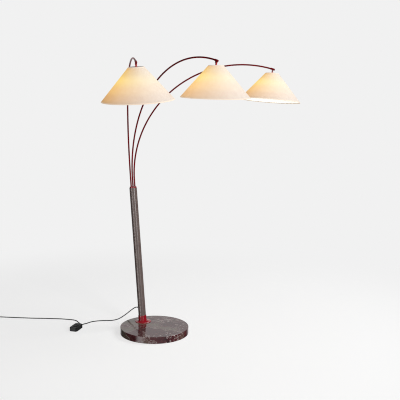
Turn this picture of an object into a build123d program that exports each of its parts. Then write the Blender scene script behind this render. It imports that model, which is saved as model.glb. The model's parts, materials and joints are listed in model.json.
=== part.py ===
from build123d import *
import math
import os

# Tree floor lamp: a polished stone disc, a leaning leather-clad stem standing behind the disc's
# centre, and three long bent arms that turn in the stem's top and each carry a cone shade.
# Millimetres and degrees. Origin: centre of the underside, on the floor. +Z is up, +X points the
# way the middle arm reaches, and +Y is the side of the right arm.

# ---------------------------------------------------------------- driving dimensions
# base
BASE_RADIUS = 225.0
BASE_TOP = 46.0
BASE_ARRIS = 1.2
FELT_RADIUS = 216.0
FELT_THICK = 2.0

# stem: its axis leaves the base's top behind the centre and leans back
STEM_SETBACK = 135.0
STEM_LEAN = 7.0
STEM_LENGTH = 910.0
TUBE_RADIUS = 23.0
TUBE_WALL = 1.5
LEATHER_THICK = 2.0
LEATHER_SEAM_ANGLE = -33.0
LEATHER_SEAM_WIDTH = 1.2
LEATHER_SEAM_DEPTH = 0.8
LEATHER_OVERLAP = 4.0  # how far the leather reaches past the tube's end
LEATHER_ROUND = 1.4
SLIP = 0.05  # radial clearance of pieces that slip together

# flange, collar and tie bolt
FLANGE_RADIUS = 54.0
FLANGE_SHIFT = 5.0
FLANGE_EDGE = 3.0
FLANGE_ARRIS = 1.0
FLANGE_KNEE_RADIUS = 42.0
FLANGE_KNEE_RISE = 4.2
FLANGE_SHOULDER = 3.0  # how far the flange's top reaches past the collar
FLANGE_RISE = 8.5
BOSS_HEIGHT = 4.0
SPIGOT_LENGTH = 50.0
COLLAR_RADIUS = 27.5
COLLAR_LENGTH = 28.0
COLLAR_ROUND = 1.0
COLLAR_SCREW_RADIUS = 2.5
COLLAR_SCREW_SINK = 0.5
COLLAR_SCREW_SOCKET_RADIUS = 1.25
COLLAR_SCREW_SOCKET_DEPTH = 2.0
COLLAR_SCREW_ANGLES = (100.0, 190.0)
BOLT_RADIUS = 6.0
BOLT_REACH = 30.0
BOLT_END_GAP = 2.0
BOLT_PLAY = 0.5  # radial play of the bolt in its washer
BOLT_HEAD_RADIUS = 11.0
BOLT_HEAD_THICK = 8.0
WASHER_RADIUS = 28.0
WASHER_THICK = 4.0
COUNTERBORE_RADIUS = 31.0
COUNTERBORE_DEPTH = 20.0

# arm sockets in the stem's top
SOCKET_SPACING = 14.5
CAP_THICK = 12.0
CAP_SPIGOT = 14.0
CAP_ROUND = 1.4
BUSH_WALL = 0.95
BUSH_FLANGE_RADIUS = 6.5
BUSH_FLANGE_THICK = 1.5
GUIDE_DEPTH = 104.0
GUIDE_THICK = 6.0

# arms
ARM_RADIUS = 5.0
ARM_WALL = 1.0
ARM_INSERT = 118.0
ARM_STRAIGHT = 40.5
ARM_BEND_RADIUS = 716.0
ARM_BEND_ANGLE = 111.2
ARM_RING_RADIUS = 6.4
ARM_RING_THICK = 6.0
FERRULE_RADIUS = 6.5
FERRULE_LENGTH = 26.0
FERRULE_NOSE = 3.0
FERRULE_NOSE_ROUND = 1.8
KNUCKLE_SETBACK = 10.0  # from the tube's end back to the knuckle
KNUCKLE_DROP = 12.0
EAR_RADIUS = 5.0
EAR_THICK = 2.5
EAR_GAP = 0.1  # between each ear and the link's eye
EYE_GAP = 0.5  # between the eye and the top of its slot
PIN_RADIUS = 2.0
PIN_LENGTH = 12.6
PIN_ARRIS = 0.3
RUNNING = 0.05  # radial clearance of pieces that turn in each other

# each arm: where its socket lies across the stem, where it is turned to, how far its head
# leans inward from the stem's direction
ARMS = {
    "left": (-1, -29.5, 10.0),
    "middle": (0, -1.5, 8.3),
    "right": (1, 50.0, 8.5),
}

# heads, measured down from the knuckle's pin
LINK_THICK = 5.8
LINK_EYE_RADIUS = 4.5
LINK_BODY_RADIUS = 5.5
LINK_BODY_TOP = 6.5
LINK_WEB_WIDTH = 8.0
LINK_NECK_RADIUS = 4.8
LINK_NECK_LENGTH = 11.5
SHADE_DROP = 14.5
SHADE_TOP_RADIUS = 43.0
SHADE_RIM_RADIUS = 202.0
SHADE_HEIGHT = 182.0
SHADE_WALL = 1.4  # level thickness of the sloping wall
SHADE_CAP_THICK = 1.5
SHADE_CAP_LIP = 9.0
HOOP_RADIUS = 1.5
HOOP_LIFT = 0.1
HOLDER_RADIUS = 19.0
HOLDER_BACK_RADIUS = 17.5
HOLDER_CROWN_RADIUS = 14.0
HOLDER_CROWN = 6.0
HOLDER_BACK = 20.0
HOLDER_PLAY = 0.2
HOLDER_LENGTH = 50.0
HOLDER_MOUTH = 26.0
LAMP_CAP_RADIUS = 13.2
LAMP_CAP_LENGTH = 24.0
LAMP_CAP_TAPER = 3.0
LAMP_TIP_RADIUS = 4.5
LAMP_TIP_LENGTH = 2.0
BULB_RADIUS = 30.0
BULB_NECK_RADIUS = 12.0
BULB_THROAT = 6.0  # straight length of the neck
BULB_FLARE = 8.0  # further length over which it starts to widen
BULB_SHOULDER_ANGLE = 50.0
BULB_LENGTH = 80.0
BULB_WALL = 1.0

# wiring
CORD_RADIUS = 3.25
TERMINAL_WIDTH = 38.0
TERMINAL_DEPTH = 18.0
TERMINAL_BOTTOM = 120.0
TERMINAL_HEIGHT = 40.0
GLAND_HEIGHT = 88.0
GLAND_NECK_RADIUS = 4.9
GLAND_BARB_RADIUS = 7.5
GLAND_BARB_THICK = 2.5
GLAND_FLANGE_RADIUS = 6.5
GLAND_FLANGE_THICK = 2.0
GLAND_TAPER_RADIUS = 5.7
GLAND_TAPER_LENGTH = 22.0
GLAND_END_RADIUS = 4.3
TAIL_BEND = 12.0

# foot switch: centre on the floor and the way its cord end points
SWITCH_X = -374.5
SWITCH_Y = -374.5
SWITCH_TURN = 125.0
SWITCH_LENGTH = 100.0
SWITCH_WIDTH = 54.0
SWITCH_HEIGHT = 27.0
SWITCH_SPLIT = 12.0
SWITCH_WALL = 2.5
SWITCH_CORNER = 9.0
SWITCH_EDGE = 3.0
RECESS_DEPTH = 1.0
RECESS_BORDER = 6.0  # width of the sunk border round the button
RECESS_ROUND = 4.0
BUTTON_LENGTH = 46.0
BUTTON_WIDTH = 30.0
BUTTON_CORNER = 3.0
BUTTON_ROUND = 1.5
BUTTON_GAP = 0.5
BUTTON_PROUD = 4.0  # above the sunk border
BUTTON_TRAVEL = 2.5
BUTTON_DEPTH = 5.0
BUTTON_REST_GAP = 0.1
SKIRT_REACH = 2.5
SKIRT_THICK = 1.5
PLUNGER_RADIUS = 4.0
PLUNGER_DROP = 1.5  # from the skirt's lowest place down to the contacts
CONTACT_LENGTH = 36.0
CONTACT_WIDTH = 24.0
SCREW_RADIUS = 1.5
SCREW_HEAD_RADIUS = 2.8
SCREW_HEAD_THICK = 1.5
SCREW_SINK = 0.5
SCREW_REACH = 9.0  # into the cover
SCREW_HOLE_REACH = 11.0
SCREW_POST_WALL = 1.2
SCREW_INSET = 9.5
GRIP_LENGTH = 20.0
GRIP_RADIUS = 5.5
GRIP_END_RADIUS = 4.2
GRIP_HEAD_LENGTH = 3.0
GRIP_STEP = 0.5
GRIP_SPACING = 10.0
GRIP_HEIGHT = 8.0

# plug
PLUG_WIDTH = 36.0
PLUG_THICK = 14.0
PLUG_LENGTH = 34.0
PLUG_NOSE = 14.0
PLUG_BACK_WIDTH = 12.0
PLUG_BACK_REACH = 8.0
PLUG_FLARE = 4.0
PLUG_ARRIS = 2.0
PLUG_TAIL = 22.0
PLUG_TAIL_OVERLAP = 2.0
PLUG_PIN_ROUND = 1.2
PLUG_PIN_RADIUS = 2.0
PLUG_PIN_LENGTH = 19.0
PLUG_PIN_SPACING = 18.6
PLUG_HEIGHT = 8.0

# coil of the spare cord
COIL_X = -940.0
COIL_Y = -752.0
COIL_START_ANGLE = 138.0
COIL_RADIUS = 45.0
COIL_PITCH = 7.1
COIL_QUARTERS = 9  # quarter turns of each layer
CLIMB_QUARTERS = 2  # quarter turns between the layers, and down from the upper one
COIL_OUTWARD = 1.2  # how fast the last turn leaves the coil, in pitches

# the cord's route from the gland to the foot switch, between its straight ends
ROUTE_TO_SWITCH = [
    (-225.1, -4.1, 117.7),
    (-250.0, -15.5, 96.5),
    (-283.0, -32.0, 64.0),
    (-315.0, -49.0, 36.0),
    (-347.0, -65.0, 14.0),
    (-381.0, -95.0, CORD_RADIUS),
    (-413.0, -135.0, CORD_RADIUS),
    (-434.0, -177.0, CORD_RADIUS),
    (-441.0, -222.0, CORD_RADIUS),
    (-428.0, -264.0, CORD_RADIUS),
]
GLAND_LEAD = 13.0
ENTRY_LEAD = 22.0

# and from the foot switch to the coil
ROUTE_TO_COIL = [
    (-449.0, -299.5, 4.0),
    (-484.0, -293.0, CORD_RADIUS),
    (-521.0, -284.0, CORD_RADIUS),
    (-553.0, -293.0, CORD_RADIUS),
    (-587.0, -321.0, CORD_RADIUS),
    (-627.0, -352.0, CORD_RADIUS),
    (-665.0, -397.0, CORD_RADIUS),
    (-707.0, -441.0, CORD_RADIUS),
    (-749.0, -493.0, CORD_RADIUS),
    (-796.0, -541.0, CORD_RADIUS),
    (-842.0, -590.0, CORD_RADIUS),
    (-893.0, -640.0, CORD_RADIUS),
]
EXIT_LEAD = 16.0
COIL_LEAD = 36.0

# ---------------------------------------------------------------- derived frames
LEAN = math.radians(STEM_LEAN)
TUBE_BORE = TUBE_RADIUS - TUBE_WALL
LEATHER_RADIUS = TUBE_RADIUS + LEATHER_THICK
STEM_FRAME = Plane(
    origin=(-STEM_SETBACK, 0, BASE_TOP),
    x_dir=(math.cos(LEAN), 0, math.sin(LEAN)),
    z_dir=(-math.sin(LEAN), 0, math.cos(LEAN)),
)
SEAT_HEIGHT = FLANGE_RISE + BOSS_HEIGHT  # where tube and collar stand, along the stem
COLLAR_TOP = SEAT_HEIGHT + COLLAR_LENGTH
CAP_SEAT = STEM_LENGTH - CAP_THICK
GUIDE_TOP = STEM_LENGTH - GUIDE_DEPTH
WASHER_TOP = FELT_THICK + COUNTERBORE_DEPTH


def in_stem(shape):
    """Place a shape made in the stem's own frame."""
    return STEM_FRAME.location * shape


def rod(radius, bottom, top, x=0.0, y=0.0):
    """An upright cylinder between two heights."""
    low = (Align.CENTER, Align.CENTER, Align.MIN)
    return Pos(x, y, bottom) * Cylinder(radius, top - bottom, align=low)


def block(length, width, bottom, top, x=0.0, y=0.0):
    """An upright box between two heights."""
    low = (Align.CENTER, Align.CENTER, Align.MIN)
    return Pos(x, y, bottom) * Box(length, width, top - bottom, align=low)


def turned(points):
    """Revolve a closed outline of (radius, height) points about the Z axis."""
    outline = Polyline([(r, 0, z) for r, z in points], close=True)
    return revolve(make_face(outline), Axis.Z)


def swept_rod(radius, path):
    """A round solid of the given radius along a path."""
    start = Plane(origin=path @ 0, z_dir=path % 0)
    return sweep(start * Circle(radius), path=path)


def along_x(shape):
    """Lay a shape turned about Z down, so that its +Z end points along -X."""
    return Rot(0, -90, 0) * shape


def write(name, shape):
    """Write one sub-part, or a group of separate solids, to its own file."""
    solids = shape.solids()
    whole = solids[0] if len(solids) == 1 else Compound(children=list(solids))
    export_step(whole, f"parts/{name}.step")


# ---------------------------------------------------------------- base
def felt_pad():
    return rod(FELT_RADIUS, 0, FELT_THICK)


def marble_base():
    disc = rod(BASE_RADIUS, FELT_THICK, BASE_TOP)
    disc = chamfer(disc.edges().filter_by(GeomType.CIRCLE), BASE_ARRIS)
    bore = rod(BOLT_RADIUS + 2 * BOLT_PLAY, FELT_THICK, BASE_TOP, x=-STEM_SETBACK)
    pocket = rod(COUNTERBORE_RADIUS, FELT_THICK, WASHER_TOP, x=-STEM_SETBACK)
    return disc - bore - pocket


def tie_washer():
    bottom = WASHER_TOP - WASHER_THICK
    plate = rod(WASHER_RADIUS, bottom, WASHER_TOP, x=-STEM_SETBACK)
    return plate - rod(BOLT_RADIUS + BOLT_PLAY, bottom, WASHER_TOP, x=-STEM_SETBACK)


def tie_bolt():
    head_top = WASHER_TOP - WASHER_THICK
    head = RegularPolygon(BOLT_HEAD_RADIUS, 6)
    head = Pos(-STEM_SETBACK, 0, head_top - BOLT_HEAD_THICK) * extrude(head, BOLT_HEAD_THICK)
    return head + rod(BOLT_RADIUS, head_top, BASE_TOP + BOLT_REACH - BOLT_END_GAP, x=-STEM_SETBACK)


def base_flange():
    rim = FLANGE_RADIUS
    dish = turned([(0, 0), (rim, 0), (rim, FLANGE_EDGE - FLANGE_ARRIS), (rim - FLANGE_ARRIS, FLANGE_EDGE),
                   (FLANGE_KNEE_RADIUS, FLANGE_KNEE_RISE), (COLLAR_RADIUS + FLANGE_SHOULDER, FLANGE_RISE),
                   (0, FLANGE_RISE)])
    dish = Pos(-STEM_SETBACK + FLANGE_SHIFT, 0, BASE_TOP) * dish
    boss = in_stem(rod(COLLAR_RADIUS, -FLANGE_RISE, SEAT_HEIGHT))
    above = block(4 * rim, 4 * rim, BASE_TOP, BASE_TOP + 2 * SEAT_HEIGHT, x=-STEM_SETBACK)
    spigot = in_stem(rod(TUBE_BORE - 2 * SLIP, SEAT_HEIGHT, SEAT_HEIGHT + SPIGOT_LENGTH))
    flange = dish + (boss & above) + spigot
    return flange - rod(BOLT_RADIUS + SLIP, BASE_TOP, BASE_TOP + BOLT_REACH, x=-STEM_SETBACK)


# ---------------------------------------------------------------- stem
def collar_screw_rod(angle, radius, inner, outer):
    """A level cylinder through the collar's wall at an angle round the stem."""
    level = Pos(0, 0, SEAT_HEIGHT + COLLAR_LENGTH / 2) * Rot(0, 0, angle) * Rot(0, 90, 0)
    return level * rod(radius, inner, outer)


def stem_collar():
    collar = rod(COLLAR_RADIUS, SEAT_HEIGHT, COLLAR_TOP)
    collar = fillet(collar.edges().group_by(Axis.Z)[-1], COLLAR_ROUND)
    collar -= rod(TUBE_RADIUS + SLIP, SEAT_HEIGHT, COLLAR_TOP)
    for angle in COLLAR_SCREW_ANGLES:
        collar -= collar_screw_rod(angle, COLLAR_SCREW_RADIUS + SLIP, TUBE_RADIUS, 2 * COLLAR_RADIUS)
    return in_stem(collar)


def collar_screws():
    screws = []
    for angle in COLLAR_SCREW_ANGLES:
        head = COLLAR_RADIUS - COLLAR_SCREW_SINK
        bottom = head - COLLAR_SCREW_SOCKET_DEPTH
        screw = collar_screw_rod(angle, COLLAR_SCREW_RADIUS, TUBE_RADIUS + 2 * SLIP, head)
        screw -= collar_screw_rod(angle, COLLAR_SCREW_SOCKET_RADIUS, bottom, head)
        screws.append(in_stem(screw))
    return Compound(children=screws)


def gland_bore():
    """The hole through leather and tube for the cord gland, at the stem's back."""
    hole = along_x(rod(GLAND_NECK_RADIUS + 2 * SLIP, TUBE_BORE / 2, 2 * LEATHER_RADIUS))
    return Pos(0, 0, GLAND_HEIGHT) * hole


def stem_tube():
    tube = rod(TUBE_RADIUS, SEAT_HEIGHT, CAP_SEAT) - rod(TUBE_BORE, SEAT_HEIGHT, CAP_SEAT)
    return in_stem(tube - gland_bore())


def leather_sleeve():
    top = CAP_SEAT + LEATHER_OVERLAP
    sleeve = rod(LEATHER_RADIUS, COLLAR_TOP, top)
    sleeve = fillet(sleeve.edges().group_by(Axis.Z)[-1], LEATHER_ROUND)
    sleeve -= rod(TUBE_RADIUS + SLIP / 2, COLLAR_TOP, top)
    seam = Pos(LEATHER_RADIUS, 0, 0) * block(2 * LEATHER_SEAM_DEPTH, LEATHER_SEAM_WIDTH, COLLAR_TOP, top)
    sleeve -= Rot(0, 0, LEATHER_SEAM_ANGLE) * seam
    return in_stem(sleeve - gland_bore())


def socket_offsets():
    return [side * SOCKET_SPACING for side, _, _ in ARMS.values()]


def top_cap():
    bush_radius = ARM_RADIUS + RUNNING + BUSH_WALL
    spigot = rod(TUBE_BORE - 2 * SLIP, CAP_SEAT - CAP_SPIGOT, CAP_SEAT)
    button = rod(TUBE_RADIUS - 2 * SLIP, CAP_SEAT, STEM_LENGTH)
    button = fillet(button.edges().group_by(Axis.Z)[-1], CAP_ROUND)
    cap = spigot + button
    for y in socket_offsets():
        cap -= rod(bush_radius + SLIP / 2, CAP_SEAT - CAP_SPIGOT, STEM_LENGTH, y=y)
    return in_stem(cap)


def arm_bushes():
    bush_radius = ARM_RADIUS + RUNNING + BUSH_WALL
    top = STEM_LENGTH + BUSH_FLANGE_THICK
    bushes = []
    for y in socket_offsets():
        sleeve = rod(bush_radius, CAP_SEAT - CAP_SPIGOT, top, y=y)
        sleeve += rod(BUSH_FLANGE_RADIUS, STEM_LENGTH, top, y=y)
        sleeve -= rod(ARM_RADIUS + RUNNING, CAP_SEAT - CAP_SPIGOT, top, y=y)
        bushes.append(in_stem(sleeve))
    return Compound(children=bushes)


def lower_guide():
    plate = rod(TUBE_BORE - 2 * SLIP, GUIDE_TOP - GUIDE_THICK, GUIDE_TOP)
    for y in socket_offsets():
        plate -= rod(ARM_RADIUS + RUNNING, GUIDE_TOP - GUIDE_THICK, GUIDE_TOP, y=y)
    return in_stem(plate)


# ---------------------------------------------------------------- wiring in the stem
def terminal_block():
    top = TERMINAL_BOTTOM + TERMINAL_HEIGHT
    return in_stem(block(TERMINAL_DEPTH, TERMINAL_WIDTH, TERMINAL_BOTTOM, top))


def stem_leads():
    bottom = TERMINAL_BOTTOM + TERMINAL_HEIGHT
    leads = [rod(CORD_RADIUS, bottom, STEM_LENGTH - ARM_INSERT, y=y) for y in socket_offsets()]
    return Compound(children=[in_stem(lead) for lead in leads])


def gland_end():
    return LEATHER_RADIUS + GLAND_FLANGE_THICK + GLAND_TAPER_LENGTH


def cord_gland():
    """A bush with a barb inside the tube, a flange outside the leather and a tapered tail."""
    barb = GLAND_BARB_RADIUS
    barb_face = math.sqrt(TUBE_BORE ** 2 - barb ** 2) - 2 * SLIP
    face = LEATHER_RADIUS + SLIP
    flange = GLAND_FLANGE_RADIUS
    flange_face = face + GLAND_FLANGE_THICK
    neck = GLAND_NECK_RADIUS
    bore = CORD_RADIUS + SLIP
    outline = [(bore, barb_face - GLAND_BARB_THICK), (barb, barb_face - GLAND_BARB_THICK),
               (barb, barb_face), (neck, barb_face), (neck, face), (flange, face), (flange, flange_face),
               (GLAND_TAPER_RADIUS, flange_face), (GLAND_END_RADIUS, gland_end()), (bore, gland_end())]
    return in_stem(Pos(0, 0, GLAND_HEIGHT) * along_x(turned(outline)))


def supply_tail():
    corners = [(-gland_end(), 0, GLAND_HEIGHT), (0, 0, GLAND_HEIGHT), (0, 0, TERMINAL_BOTTOM)]
    return in_stem(swept_rod(CORD_RADIUS, FilletPolyline(*corners, radius=TAIL_BEND)))


# ---------------------------------------------------------------- arms
def arm_place(side, azimuth):
    """Place at the top of an arm's socket: x the way the arm reaches, z along the stem."""
    return STEM_FRAME.location * Pos(0, side * SOCKET_SPACING, STEM_LENGTH) * Rot(0, 0, azimuth)


def on_bend(angle):
    """Point on the arm's centre line, some degrees along its bend."""
    turn = math.radians(angle)
    reach = ARM_BEND_RADIUS * (1 - math.cos(turn))
    return Vector(reach, 0, ARM_STRAIGHT + ARM_BEND_RADIUS * math.sin(turn))


def bend(start_angle, end_angle):
    middle = (start_angle + end_angle) / 2
    return ThreePointArc(on_bend(start_angle), on_bend(middle), on_bend(end_angle))


def bend_degrees(length):
    return math.degrees(length / ARM_BEND_RADIUS)


def arm_path(bottom, end_angle):
    foot = Line((0, 0, bottom), (0, 0, ARM_STRAIGHT))
    return Wire([foot, bend(0, end_angle)])


def arm_tube():
    """The bent tube, with the ring brazed on it that stands on the lower guide."""
    ring_bottom = -GUIDE_DEPTH
    outer = swept_rod(ARM_RADIUS, arm_path(-ARM_INSERT, ARM_BEND_ANGLE))
    outer += rod(ARM_RING_RADIUS, ring_bottom, ring_bottom + ARM_RING_THICK)
    inner = swept_rod(ARM_RADIUS - ARM_WALL, arm_path(-ARM_INSERT, ARM_BEND_ANGLE))
    return outer - inner


def arm_lead():
    end = ARM_BEND_ANGLE - bend_degrees(KNUCKLE_SETBACK)
    return swept_rod(CORD_RADIUS, arm_path(-ARM_INSERT, end))


def tip_frame(angle):
    """Frame on the arm's centre line: x on along the tube, z to the outside of the bend."""
    turn = math.radians(angle)
    along = Vector(math.sin(turn), 0, math.cos(turn))
    outward = Vector(-math.cos(turn), 0, math.sin(turn))
    return Plane(origin=on_bend(angle), x_dir=along, z_dir=outward)


def knuckle_frame():
    tip = tip_frame(ARM_BEND_ANGLE - bend_degrees(KNUCKLE_SETBACK))
    pin = tip.from_local_coords(Vector(0, 0, -KNUCKLE_DROP))
    return Plane(origin=pin, x_dir=tip.x_dir, z_dir=tip.z_dir)


def cross_rod(radius, width):
    """A cylinder across the arm, centred on the knuckle's pin."""
    return Rot(90, 0, 0) * Cylinder(radius, width)


def arm_ferrule():
    start = ARM_BEND_ANGLE - bend_degrees(FERRULE_LENGTH)
    sleeve = swept_rod(FERRULE_RADIUS, bend(start, ARM_BEND_ANGLE))
    end = tip_frame(ARM_BEND_ANGLE)
    nose = Rot(0, 90, 0) * rod(FERRULE_RADIUS, 0, FERRULE_NOSE)
    nose = fillet(nose.edges().group_by(Axis.X)[-1], FERRULE_NOSE_ROUND)
    slot_width = LINK_THICK + 2 * EAR_GAP
    ears_width = slot_width + 2 * EAR_THICK
    ears = cross_rod(EAR_RADIUS, ears_width) + block(2 * EAR_RADIUS, ears_width, 0, KNUCKLE_DROP)
    ears -= block(6 * EAR_RADIUS, slot_width, -2 * EAR_RADIUS, LINK_EYE_RADIUS + EYE_GAP)
    ears -= cross_rod(PIN_RADIUS + SLIP / 2, 2 * ears_width)
    ears = knuckle_frame().location * ears
    body = sleeve + end.location * nose + ears
    return body - swept_rod(ARM_RADIUS + SLIP / 2, bend(start, ARM_BEND_ANGLE))


def knuckle_pin():
    pin = cross_rod(PIN_RADIUS, PIN_LENGTH)
    pin = chamfer(pin.edges().filter_by(GeomType.CIRCLE), PIN_ARRIS)
    return knuckle_frame().location * pin


# ---------------------------------------------------------------- heads
def head_frame(lean):
    """Frame at the knuckle's pin, z up along the head's own axis."""
    turn = math.radians(lean)
    up = Vector(math.sin(turn), 0, math.cos(turn))
    out = Vector(math.cos(turn), 0, -math.sin(turn))
    return Plane(origin=knuckle_frame().origin, x_dir=out, z_dir=up)


def cone_radius(height):
    """Outer radius of the shade at a height below the pin, given as a negative number."""
    share = (-height - SHADE_DROP) / SHADE_HEIGHT
    return SHADE_TOP_RADIUS + share * (SHADE_RIM_RADIUS - SHADE_TOP_RADIUS)


def drop_link():
    neck_end = -SHADE_DROP - LINK_NECK_LENGTH
    link = cross_rod(LINK_EYE_RADIUS, LINK_THICK)
    link += block(LINK_WEB_WIDTH, LINK_THICK, -LINK_BODY_TOP, 0)
    link += rod(LINK_BODY_RADIUS, -SHADE_DROP, -LINK_BODY_TOP)
    link += rod(LINK_NECK_RADIUS, neck_end, -SHADE_DROP)
    return link - cross_rod(PIN_RADIUS + RUNNING, 2 * LINK_THICK)


def shade_cone():
    top = -SHADE_DROP
    rim = top - SHADE_HEIGHT
    return turned([(cone_radius(top) - SHADE_WALL, top), (cone_radius(top), top),
                   (cone_radius(rim), rim), (cone_radius(rim) - SHADE_WALL, rim)])


def shade_cap():
    """The metal disc that closes the cone's top, with a lip glued inside the wall."""
    top = -SHADE_DROP
    under = top - SHADE_CAP_THICK
    lip = top - SHADE_CAP_LIP
    outer = SHADE_WALL + 2 * SLIP
    inner = outer + SHADE_CAP_THICK
    hole = LINK_NECK_RADIUS + SLIP
    return turned([(hole, top), (cone_radius(top) - outer, top), (cone_radius(lip) - outer, lip),
                   (cone_radius(lip) - inner, lip), (cone_radius(under) - inner, under), (hole, under)])


def rim_hoop():
    height = -SHADE_DROP - SHADE_HEIGHT + HOOP_RADIUS + HOOP_LIFT
    slope = (SHADE_RIM_RADIUS - SHADE_TOP_RADIUS) / SHADE_HEIGHT
    level = HOOP_RADIUS * math.sqrt(1 + slope ** 2)
    hoop = Torus(cone_radius(height) - SHADE_WALL - level - 2 * SLIP, HOOP_RADIUS)
    return Pos(0, 0, height) * hoop


def holder_top():
    return -SHADE_DROP - SHADE_CAP_THICK


def holder_mouth():
    return holder_top() - HOLDER_LENGTH


def lampholder():
    top, mouth = holder_top(), holder_mouth()
    body = turned([(0, top), (HOLDER_CROWN_RADIUS, top), (HOLDER_BACK_RADIUS, top - HOLDER_CROWN),
                   (HOLDER_BACK_RADIUS, top - HOLDER_BACK), (HOLDER_RADIUS, top - HOLDER_BACK),
                   (HOLDER_RADIUS, mouth), (0, mouth)])
    body -= rod(LAMP_CAP_RADIUS + HOLDER_PLAY, mouth, mouth + HOLDER_MOUTH)
    return body - rod(LINK_NECK_RADIUS + SLIP, -SHADE_DROP - LINK_NECK_LENGTH, top)


def bulb_cap():
    mouth = holder_mouth()
    cap = rod(LAMP_CAP_RADIUS, mouth, mouth + LAMP_CAP_LENGTH)
    cap = chamfer(cap.edges().group_by(Axis.Z)[-1], LAMP_CAP_TAPER)
    tip = mouth + LAMP_CAP_LENGTH
    return cap + rod(LAMP_TIP_RADIUS, tip, tip + LAMP_TIP_LENGTH)


def bulb_side(inset):
    """Half outline of the bulb's glass from its neck down to its lowest point."""
    mouth = holder_mouth()
    middle = mouth - BULB_LENGTH + BULB_RADIUS
    radius = BULB_RADIUS - inset
    neck = BULB_NECK_RADIUS - inset

    def on_ball(degrees):
        turn = math.radians(degrees)
        return (radius * math.sin(turn), middle + radius * math.cos(turn))

    join = on_ball(BULB_SHOULDER_ANGLE)
    tangent = math.radians(BULB_SHOULDER_ANGLE)
    before_join = (join[0] - BULB_FLARE * math.cos(tangent), join[1] + BULB_FLARE * math.sin(tangent))
    throat_end = (neck, mouth - BULB_THROAT)
    throat = Line((neck, mouth), throat_end)
    flare = Bezier(throat_end, (neck, mouth - BULB_THROAT - BULB_FLARE), before_join, join)
    ball = ThreePointArc(join, on_ball(90), on_ball(135))
    base = ThreePointArc(on_ball(135), on_ball(157.5), (0, middle - radius))
    return [throat, flare, ball, base]


def bulb_solid(inset):
    mouth = holder_mouth()
    side = bulb_side(inset)
    low = side[-1] @ 1
    edges = side + [Line(low, (0, mouth)), Line((0, mouth), (BULB_NECK_RADIUS - inset, mouth))]
    face = make_face(edges)
    return revolve(Rot(90, 0, 0) * face, Axis.Z)


def bulb_glass():
    return bulb_solid(0.0) - bulb_solid(BULB_WALL)


# ---------------------------------------------------------------- foot switch
def in_switch(shape):
    """Place a shape made in the switch's frame: x toward its cord end, z up from the floor."""
    return Pos(SWITCH_X, SWITCH_Y, 0) * Rot(0, 0, SWITCH_TURN) * shape


def switch_outline(inset):
    """The switch's plan: a rectangle with its four corners cut off."""
    plan = Rectangle(SWITCH_LENGTH - 2 * inset, SWITCH_WIDTH - 2 * inset)
    return chamfer(plan.vertices(), SWITCH_CORNER - inset * (2 - math.sqrt(2)))


def screw_places():
    x = SWITCH_LENGTH / 2 - SCREW_INSET
    y = SWITCH_WIDTH / 2 - SCREW_INSET
    return [(x, y), (x, -y), (-x, y), (-x, -y)]


def button_plan(border, corner):
    """The button's plan with a border round it."""
    plan = Rectangle(BUTTON_LENGTH + 2 * border, BUTTON_WIDTH + 2 * border)
    return fillet(plan.vertices(), corner)


def switch_base():
    shell = extrude(switch_outline(0), SWITCH_SPLIT)
    shell -= Pos(0, 0, SWITCH_WALL) * extrude(switch_outline(SWITCH_WALL), SWITCH_SPLIT)
    for x, y in screw_places():
        shell += rod(SCREW_HEAD_RADIUS + SCREW_POST_WALL, SCREW_SINK, SWITCH_SPLIT, x, y)
    for x, y in screw_places():
        shell -= rod(SCREW_HEAD_RADIUS + 2 * SLIP, 0, SCREW_SINK + SCREW_HEAD_THICK, x, y)
        shell -= rod(SCREW_RADIUS + 2 * SLIP, 0, SWITCH_SPLIT, x, y)
    return in_switch(shell)


def switch_cover():
    height = SWITCH_HEIGHT - SWITCH_SPLIT
    shell = extrude(switch_outline(0), height)
    shell = chamfer(shell.edges().group_by(Axis.Z)[-1], SWITCH_EDGE)
    shell -= extrude(switch_outline(SWITCH_WALL), height - SWITCH_WALL)
    recess = button_plan(RECESS_BORDER, RECESS_ROUND)
    shell -= Pos(0, 0, height - RECESS_DEPTH) * extrude(recess, RECESS_DEPTH)
    shell -= extrude(button_plan(BUTTON_GAP, BUTTON_CORNER), height)
    for x, y in screw_places():
        shell += rod(SCREW_HEAD_RADIUS + SCREW_POST_WALL, 0, height - SWITCH_WALL, x, y)
    for x, y in screw_places():
        shell -= rod(SCREW_RADIUS + SLIP, 0, SCREW_HOLE_REACH, x, y)
    return in_switch(Pos(0, 0, SWITCH_SPLIT) * shell)


def switch_screws():
    screws = []
    for x, y in screw_places():
        head = rod(SCREW_HEAD_RADIUS, SCREW_SINK, SCREW_SINK + SCREW_HEAD_THICK, x, y)
        shank = rod(SCREW_RADIUS, SCREW_SINK + SCREW_HEAD_THICK, SWITCH_SPLIT + SCREW_REACH, x, y)
        screws.append(in_switch(head + shank))
    return Compound(children=screws)


def skirt_top():
    """The button's skirt at rest lies just under the cover's roof."""
    return SWITCH_HEIGHT - SWITCH_WALL - BUTTON_REST_GAP


def contact_top():
    return skirt_top() - SKIRT_THICK - BUTTON_TRAVEL - PLUNGER_DROP


def switch_contacts():
    return in_switch(block(CONTACT_LENGTH, CONTACT_WIDTH, SWITCH_WALL, contact_top()))


def switch_button():
    """The pedal, with a skirt that keeps it inside the cover's window."""
    top = SWITCH_HEIGHT - RECESS_DEPTH + BUTTON_PROUD
    skirt_bottom = skirt_top() - SKIRT_THICK
    pedal = Pos(0, 0, skirt_bottom) * extrude(button_plan(0, BUTTON_CORNER), top - skirt_bottom)
    pedal = fillet(pedal.edges().group_by(Axis.Z)[-1], BUTTON_ROUND)
    skirt = button_plan(SKIRT_REACH, BUTTON_CORNER)
    pedal += Pos(0, 0, skirt_bottom) * extrude(skirt, SKIRT_THICK)
    pedal += rod(PLUNGER_RADIUS, contact_top() + BUTTON_TRAVEL + BUTTON_REST_GAP, skirt_bottom)
    return in_switch(pedal)


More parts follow.
